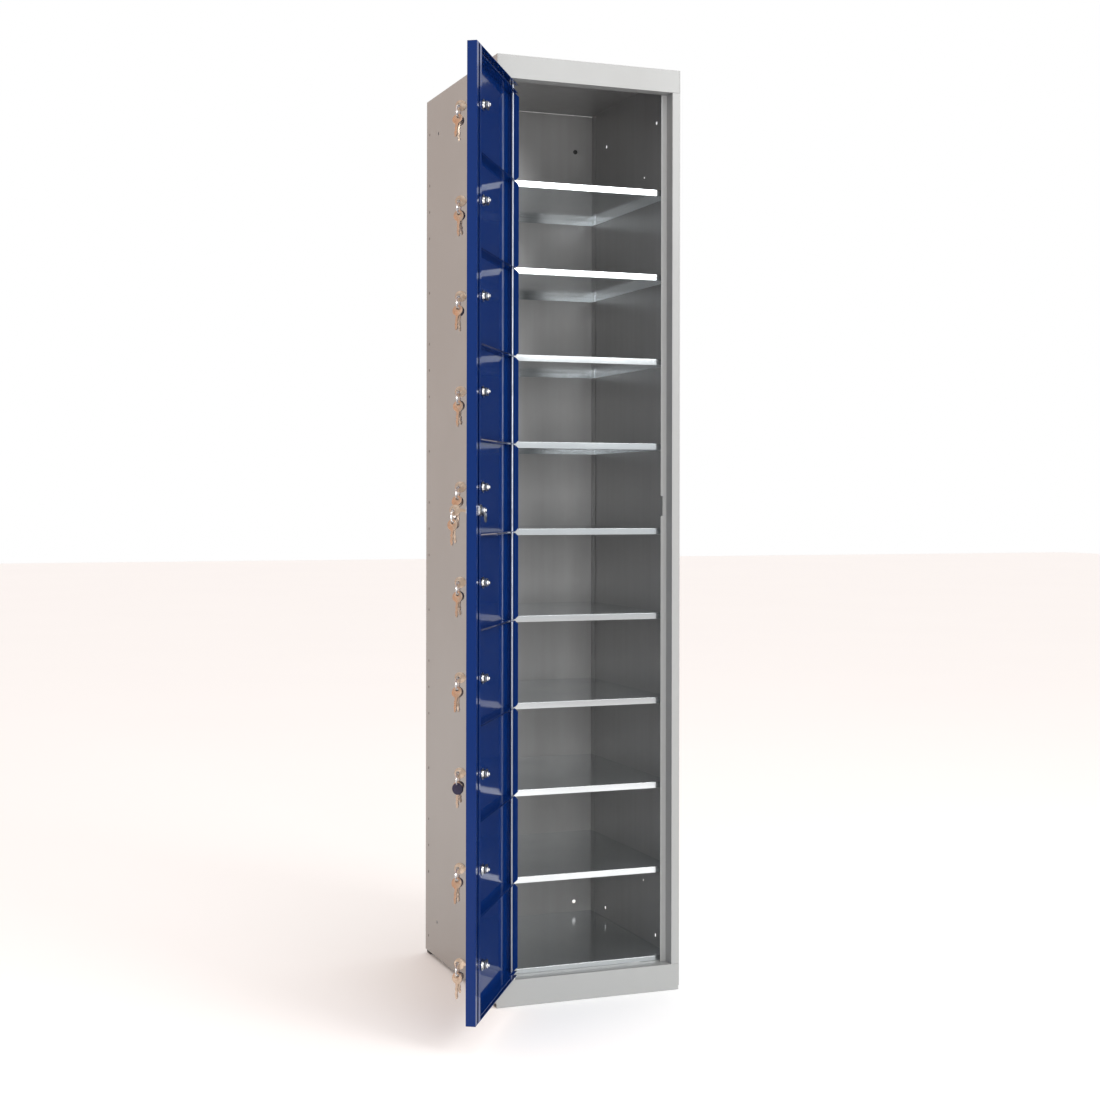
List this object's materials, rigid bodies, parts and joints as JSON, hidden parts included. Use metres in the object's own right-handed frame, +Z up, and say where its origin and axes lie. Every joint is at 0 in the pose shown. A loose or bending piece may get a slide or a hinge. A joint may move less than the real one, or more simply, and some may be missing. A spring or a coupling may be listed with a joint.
{
  "type": "garment dispenser locker",
  "caption": "Tall steel locker with stacked compartments; small lockable doors and the master frame around them hang on one full-length hinge rod.",
  "frame": {"origin": "on the floor, in the middle of the front foot flange: centred in X, 10 mm behind the front face", "axes": "+Z up, +Y from the front to the back, +X to the right seen from the front; the locker faces -Y"},
  "size_m": [0.5482, 0.722, 1.8],
  "materials": {
    "carcass_grey": "warm light grey powder coat, satin",
    "bare_steel": "galvanised sheet, dull grey-blue",
    "door_blue": "dark blue gloss paint",
    "zinc_rod": "bright zinc-plated steel",
    "lock_zinc": "polished nickel plate",
    "key_brass": "coppery brass, rubbed",
    "nylon": "natural nylon"
  },
  "bodies": {
    "carcass": {"left_side_panel": "carcass_grey", "right_side_panel": "carcass_grey", "back_panel": "carcass_grey", "top_panel": "carcass_grey", "plinth": "carcass_grey", "rear_foot_rail": "carcass_grey", "bottom_shelf": "bare_steel", "shelf_01": "bare_steel", "shelf_02": "bare_steel", "shelf_03": "bare_steel", "shelf_04": "bare_steel", "shelf_05": "bare_steel", "shelf_06": "bare_steel", "shelf_07": "bare_steel", "shelf_08": "bare_steel", "shelf_09": "bare_steel", "hinge_rod": "zinc_rod", "rod_push_nut_top": "zinc_rod", "rod_push_nut_bottom": "zinc_rod", "thrust_washer": "nylon"},
    "master_door": {"master_lock_stile": "door_blue", "master_top_rail": "door_blue", "master_bottom_rail": "door_blue", "lock_barrel_master": "lock_zinc"},
    "master_cam": {"lock_core_master": "key_brass"},
    "small_door_01": {"small_door_01": "door_blue", "lock_barrel_01": "lock_zinc"},
    "small_cam_01": {"lock_core_01": "key_brass"},
    "small_door_02": {"small_door_02": "door_blue", "lock_barrel_02": "lock_zinc"},
    "small_cam_02": {"lock_core_02": "key_brass"},
    "small_door_03": {"small_door_03": "door_blue", "lock_barrel_03": "lock_zinc"},
    "small_cam_03": {"lock_core_03": "key_brass"},
    "small_door_04": {"small_door_04": "door_blue", "lock_barrel_04": "lock_zinc"},
    "small_cam_04": {"lock_core_04": "key_brass"},
    "small_door_05": {"small_door_05": "door_blue", "lock_barrel_05": "lock_zinc"},
    "small_cam_05": {"lock_core_05": "key_brass"},
    "small_door_06": {"small_door_06": "door_blue", "lock_barrel_06": "lock_zinc"},
    "small_cam_06": {"lock_core_06": "key_brass"},
    "small_door_07": {"small_door_07": "door_blue", "lock_barrel_07": "lock_zinc"},
    "small_cam_07": {"lock_core_07": "key_brass"},
    "small_door_08": {"small_door_08": "door_blue", "lock_barrel_08": "lock_zinc"},
    "small_cam_08": {"lock_core_08": "key_brass"},
    "small_door_09": {"small_door_09": "door_blue", "lock_barrel_09": "lock_zinc"},
    "small_cam_09": {"lock_core_09": "key_brass"},
    "small_door_10": {"small_door_10": "door_blue", "lock_barrel_10": "lock_zinc"},
    "small_cam_10": {"lock_core_10": "key_brass"}
  },
  "joints": [
    {"name": "master_hinge", "type": "hinge", "parent": "carcass", "child": "master_door", "pos_m": [-0.156, -0.0005, 0.9], "axis": [0, 0, 1], "range_deg": [0, 122.01]},
    {"name": "master_cam_turn", "type": "hinge", "parent": "master_door", "child": "master_cam", "pos_m": [-0.32784, -0.25749, 0.94], "axis": [-0.848, 0.53, 0], "range_deg": [0, 90]},
    {"name": "small_hinge_01", "type": "hinge", "parent": "carcass", "child": "small_door_01", "pos_m": [-0.156, -0.0005, 1.64805], "axis": [0, 0, 1], "range_deg": [0, 122.01]},
    {"name": "small_cam_turn_01", "type": "hinge", "parent": "small_door_01", "child": "small_cam_01", "pos_m": [-0.3077, -0.22526, 1.64805], "axis": [-0.848, 0.53, 0], "range_deg": [0, 180]},
    {"name": "small_hinge_02", "type": "hinge", "parent": "carcass", "child": "small_door_02", "pos_m": [-0.156, -0.0005, 1.48115], "axis": [0, 0, 1], "range_deg": [0, 122.01]},
    {"name": "small_cam_turn_02", "type": "hinge", "parent": "small_door_02", "child": "small_cam_02", "pos_m": [-0.3077, -0.22526, 1.48115], "axis": [-0.848, 0.53, 0], "range_deg": [0, 180]},
    {"name": "small_hinge_03", "type": "hinge", "parent": "carcass", "child": "small_door_03", "pos_m": [-0.156, -0.0005, 1.31425], "axis": [0, 0, 1], "range_deg": [0, 122.01]},
    {"name": "small_cam_turn_03", "type": "hinge", "parent": "small_door_03", "child": "small_cam_03", "pos_m": [-0.3077, -0.22526, 1.31425], "axis": [-0.848, 0.53, 0], "range_deg": [0, 180]},
    {"name": "small_hinge_04", "type": "hinge", "parent": "carcass", "child": "small_door_04", "pos_m": [-0.156, -0.0005, 1.14735], "axis": [0, 0, 1], "range_deg": [0, 122.01]},
    {"name": "small_cam_turn_04", "type": "hinge", "parent": "small_door_04", "child": "small_cam_04", "pos_m": [-0.3077, -0.22526, 1.14735], "axis": [-0.848, 0.53, 0], "range_deg": [0, 180]},
    {"name": "small_hinge_05", "type": "hinge", "parent": "carcass", "child": "small_door_05", "pos_m": [-0.156, -0.0005, 0.98045], "axis": [0, 0, 1], "range_deg": [0, 122.01]},
    {"name": "small_cam_turn_05", "type": "hinge", "parent": "small_door_05", "child": "small_cam_05", "pos_m": [-0.3077, -0.22526, 0.98045], "axis": [-0.848, 0.53, 0], "range_deg": [0, 180]},
    {"name": "small_hinge_06", "type": "hinge", "parent": "carcass", "child": "small_door_06", "pos_m": [-0.156, -0.0005, 0.81355], "axis": [0, 0, 1], "range_deg": [0, 122.01]},
    {"name": "small_cam_turn_06", "type": "hinge", "parent": "small_door_06", "child": "small_cam_06", "pos_m": [-0.3077, -0.22526, 0.81355], "axis": [-0.848, 0.53, 0], "range_deg": [0, 180]},
    {"name": "small_hinge_07", "type": "hinge", "parent": "carcass", "child": "small_door_07", "pos_m": [-0.156, -0.0005, 0.64665], "axis": [0, 0, 1], "range_deg": [0, 122.01]},
    {"name": "small_cam_turn_07", "type": "hinge", "parent": "small_door_07", "child": "small_cam_07", "pos_m": [-0.3077, -0.22526, 0.64665], "axis": [-0.848, 0.53, 0], "range_deg": [0, 180]},
    {"name": "small_hinge_08", "type": "hinge", "parent": "carcass", "child": "small_door_08", "pos_m": [-0.156, -0.0005, 0.47975], "axis": [0, 0, 1], "range_deg": [0, 122.01]},
    {"name": "small_cam_turn_08", "type": "hinge", "parent": "small_door_08", "child": "small_cam_08", "pos_m": [-0.3077, -0.22526, 0.47975], "axis": [-0.848, 0.53, 0], "range_deg": [0, 180]},
    {"name": "small_hinge_09", "type": "hinge", "parent": "carcass", "child": "small_door_09", "pos_m": [-0.156, -0.0005, 0.31285], "axis": [0, 0, 1], "range_deg": [0, 122.01]},
    {"name": "small_cam_turn_09", "type": "hinge", "parent": "small_door_09", "child": "small_cam_09", "pos_m": [-0.3077, -0.22526, 0.31285], "axis": [-0.848, 0.53, 0], "range_deg": [0, 180]},
    {"name": "small_hinge_10", "type": "hinge", "parent": "carcass", "child": "small_door_10", "pos_m": [-0.156, -0.0005, 0.14595], "axis": [0, 0, 1], "range_deg": [0, 122.01]},
    {"name": "small_cam_turn_10", "type": "hinge", "parent": "small_door_10", "child": "small_cam_10", "pos_m": [-0.3077, -0.22526, 0.14595], "axis": [-0.848, 0.53, 0], "range_deg": [0, 180]}
  ]
}
